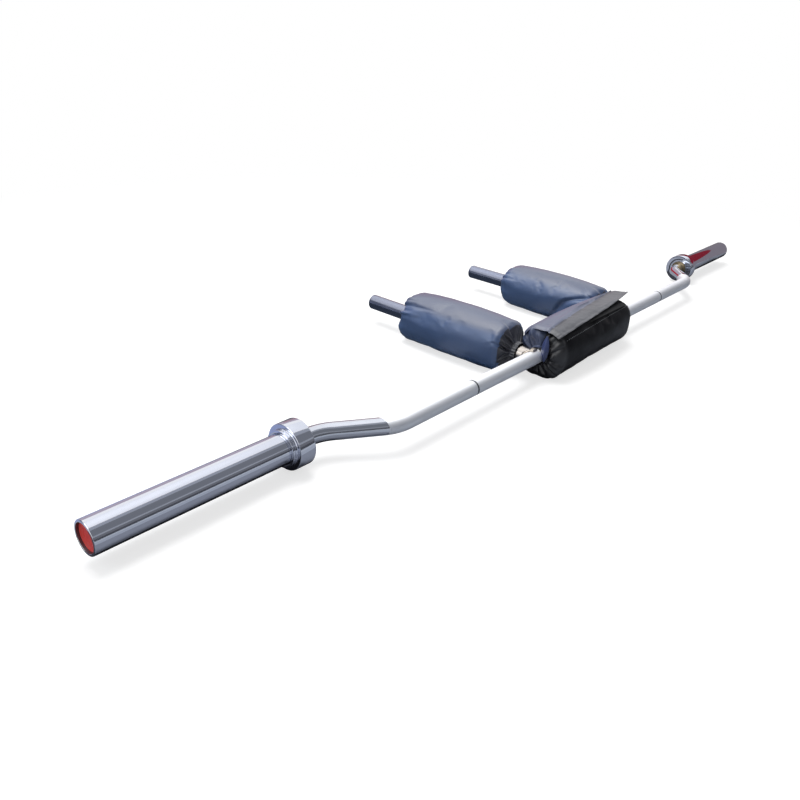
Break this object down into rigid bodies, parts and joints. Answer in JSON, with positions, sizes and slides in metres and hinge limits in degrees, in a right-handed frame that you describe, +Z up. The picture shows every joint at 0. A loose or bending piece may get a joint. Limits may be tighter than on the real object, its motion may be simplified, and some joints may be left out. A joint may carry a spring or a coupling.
{
  "type": "safety squat bar",
  "caption": "Cambered barbell with a padded neck yoke, forward handles with shoulder pads, and rotating sleeves at its ends.",
  "frame": {"origin": "on the floor, below the middle of the bar's bounding box, with the bar lying on its three pads", "axes": "+X along the bar toward the lifter's left sleeve, -Y the way the handles point (forward for the lifter), +Z up"},
  "size_m": [2.2, 0.4859, 0.1143],
  "materials": {
    "shaft_steel": "satin",
    "sleeve_chrome": "polished",
    "handle_chrome": "satin",
    "weld_metal": "satin",
    "bronze": "satin",
    "spring_steel": "satin",
    "red_plastic": "satin",
    "blue_vinyl": "satin",
    "black_vinyl": "satin",
    "grey_vinyl": "satin",
    "foam": "matte",
    "elastic": "matte",
    "tape": "matte"
  },
  "bodies": {
    "bar": {"main_shaft": "shaft_steel", "left_arm_tube": "handle_chrome", "left_arm_weld": "weld_metal", "left_handle_plug": "handle_chrome", "left_shoulder_foam": "foam", "left_shoulder_cover": "blue_vinyl", "left_shoulder_inner_cord": "elastic", "left_shoulder_outer_cord": "elastic", "left_thrust_washer": "spring_steel", "left_snap_ring": "spring_steel", "right_arm_tube": "handle_chrome", "right_arm_weld": "weld_metal", "right_handle_plug": "handle_chrome", "right_shoulder_foam": "foam", "right_shoulder_cover": "blue_vinyl", "right_shoulder_inner_cord": "elastic", "right_shoulder_outer_cord": "elastic", "right_thrust_washer": "spring_steel", "right_snap_ring": "spring_steel", "neck_foam": "foam", "neck_cover": "black_vinyl", "neck_left_cord": "elastic", "neck_right_cord": "elastic", "loop_tape": "tape", "hook_tape": "tape", "neck_flap": "grey_vinyl"},
    "left_sleeve": {"left_sleeve_tube": "sleeve_chrome", "left_sleeve_collar": "sleeve_chrome", "left_inner_bush": "bronze", "left_outer_bush": "bronze", "left_end_cap": "red_plastic"},
    "right_sleeve": {"right_sleeve_tube": "sleeve_chrome", "right_sleeve_collar": "sleeve_chrome", "right_inner_bush": "bronze", "right_outer_bush": "bronze", "right_end_cap": "red_plastic"}
  },
  "joints": [
    {"name": "left_sleeve_spin", "type": "hinge", "parent": "bar", "child": "left_sleeve", "pos_m": [0.926, 0.117, 0.0435], "axis": [1, 0, 0], "continuous": true},
    {"name": "right_sleeve_spin", "type": "hinge", "parent": "bar", "child": "right_sleeve", "pos_m": [-0.926, 0.117, 0.0435], "axis": [1, 0, 0], "continuous": true}
  ]
}
